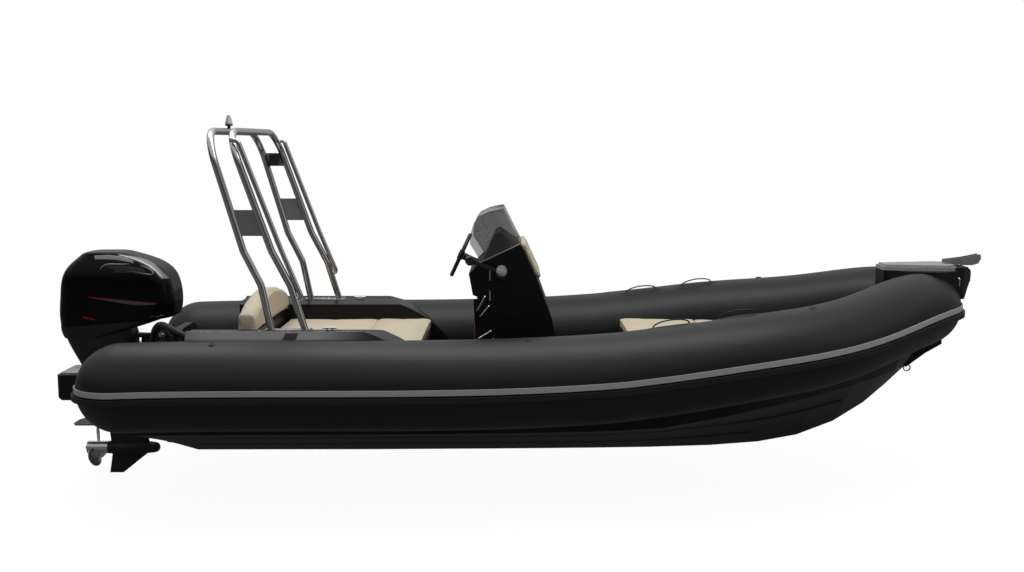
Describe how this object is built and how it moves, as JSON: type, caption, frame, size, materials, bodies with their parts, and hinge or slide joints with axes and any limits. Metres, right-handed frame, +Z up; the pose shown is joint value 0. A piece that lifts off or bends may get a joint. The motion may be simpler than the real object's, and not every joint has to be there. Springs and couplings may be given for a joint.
{
  "type": "rigid inflatable boat",
  "caption": "Rigid inflatable boat: deep-V hull, black inflated collar with a grey band, console with smoked screen, beige seats, polished roll bar and tilting, steering outboard engine.",
  "frame": {"origin": "on the centreline amidships, at the height of the still waterline", "axes": "+X forward to the bow, +Y to port, +Z up"},
  "size_m": [6.5727, 2.5302, 2.5913],
  "materials": {
    "beige_vinyl": "sewn marine vinyl",
    "black_gelcoat": "polished black gelcoat",
    "black_plastic": "textured black plastic",
    "black_rubber": "moulded rubber",
    "collar_fabric": "matte coated fabric",
    "dark_sole": "non-slip cockpit sole",
    "engine_gloss": "gloss black cowl",
    "engine_satin": "satin black casting",
    "grey_rubber": "grey rubber band",
    "grey_tread": "non-slip foam tread",
    "prop_steel": "cast stainless propeller",
    "red_paint": "red enamel",
    "satin_plate": "satin plate",
    "smoked_screen": "smoked acrylic",
    "stainless": "polished stainless steel",
    "white_lens": "white lamp lens"
  },
  "bodies": {
    "boat": {"anchor_roller_cheeks": "stainless", "bow_bulkhead": "black_gelcoat", "bow_cushion_aft": "beige_vinyl", "bow_deck": "grey_tread", "bow_eye": "stainless", "bow_locker": "black_gelcoat", "bow_nose": "black_gelcoat", "bow_tread": "grey_tread", "clamp_bracket": "engine_satin", "cleat": "stainless", "coaming": "black_gelcoat", "collar_bow": "collar_fabric", "collar_side": "collar_fabric", "console": "black_gelcoat", "console_cushion": "beige_vinyl", "console_handles": "stainless", "dash_pod": "black_gelcoat", "fire_extinguisher": "red_paint", "grab_handles": "black_rubber", "helm": "black_plastic", "hull": "black_gelcoat", "lamp_bracket": "satin_plate", "locker_top": "black_gelcoat", "masthead_light": "white_lens", "nose_eye": "stainless", "platform_tread": "grey_tread", "rigging_hose": "black_rubber", "roll_bar_aft_hoop": "stainless", "roll_bar_foot": "stainless", "roll_bar_fore_hoop": "stainless", "roll_bar_plate": "satin_plate", "rubbing_strake": "black_rubber", "seat_backrest": "beige_vinyl", "seat_base": "black_gelcoat", "seat_cushion_aft": "beige_vinyl", "seat_cushion_fore": "beige_vinyl", "sole": "dark_sole", "stern_lamp": "black_plastic", "strake_band": "grey_rubber", "swim_platform": "black_gelcoat", "throttle": "black_plastic", "transom_board": "black_gelcoat", "windscreen": "smoked_screen"},
    "swivel": {"swivel_bracket": "engine_satin"},
    "engine": {"engine_cowl": "engine_gloss", "engine_pan": "engine_satin", "drive_leg": "engine_satin", "gearcase": "engine_satin", "steering_yoke": "engine_satin"},
    "screw": {"propeller": "prop_steel"},
    "helm_wheel": {"steering_wheel": "black_plastic"},
    "bow_lid": {"locker_lid": "black_gelcoat", "bow_cushion_fore": "beige_vinyl"},
    "stern_door": {"seat_door": "black_gelcoat"},
    "helm_door": {"console_door": "black_gelcoat"},
    "roller": {"anchor_roller": "black_rubber"}
  },
  "joints": [
    {"name": "engine_tilt", "type": "hinge", "parent": "boat", "child": "swivel", "pos_m": [-2.49, 0, 0.505], "axis": [0, 1, 0], "range_deg": [0, 65]},
    {"name": "engine_steer", "type": "hinge", "parent": "swivel", "child": "engine", "pos_m": [-2.64, 0, 0.3], "axis": [0, 0, 1], "range_deg": [-30, 30]},
    {"name": "propeller_spin", "type": "hinge", "parent": "engine", "child": "screw", "pos_m": [-3.0275, 0, -0.367], "axis": [1, 0, 0], "continuous": true},
    {"name": "wheel_turn", "type": "hinge", "parent": "boat", "child": "helm_wheel", "pos_m": [-0.366, 0, 1.048], "axis": [-0.9063, 0, 0.4226], "range_deg": [-720, 720]},
    {"name": "bow_lid_hinge", "type": "hinge", "parent": "boat", "child": "bow_lid", "pos_m": [1.952, 0, 0.4069], "axis": [0, 1, 0], "range_deg": [0, 80]},
    {"name": "seat_door_hinge", "type": "hinge", "parent": "boat", "child": "stern_door", "pos_m": [-0.6187, -0.18, 0.245], "axis": [0, 0, 1], "range_deg": [-100, 0]},
    {"name": "console_door_hinge", "type": "hinge", "parent": "boat", "child": "helm_door", "pos_m": [-0.1663, 0.15, 0.435], "axis": [0, 0, 1], "range_deg": [-100, 0]},
    {"name": "roller_spin", "type": "hinge", "parent": "boat", "child": "roller", "pos_m": [3.312, 0, 1.014], "axis": [0, 1, 0], "continuous": true}
  ],
  "couplings": [
    {"joint": "wheel_turn", "follows": "engine_steer", "ratio": -24}
  ]
}
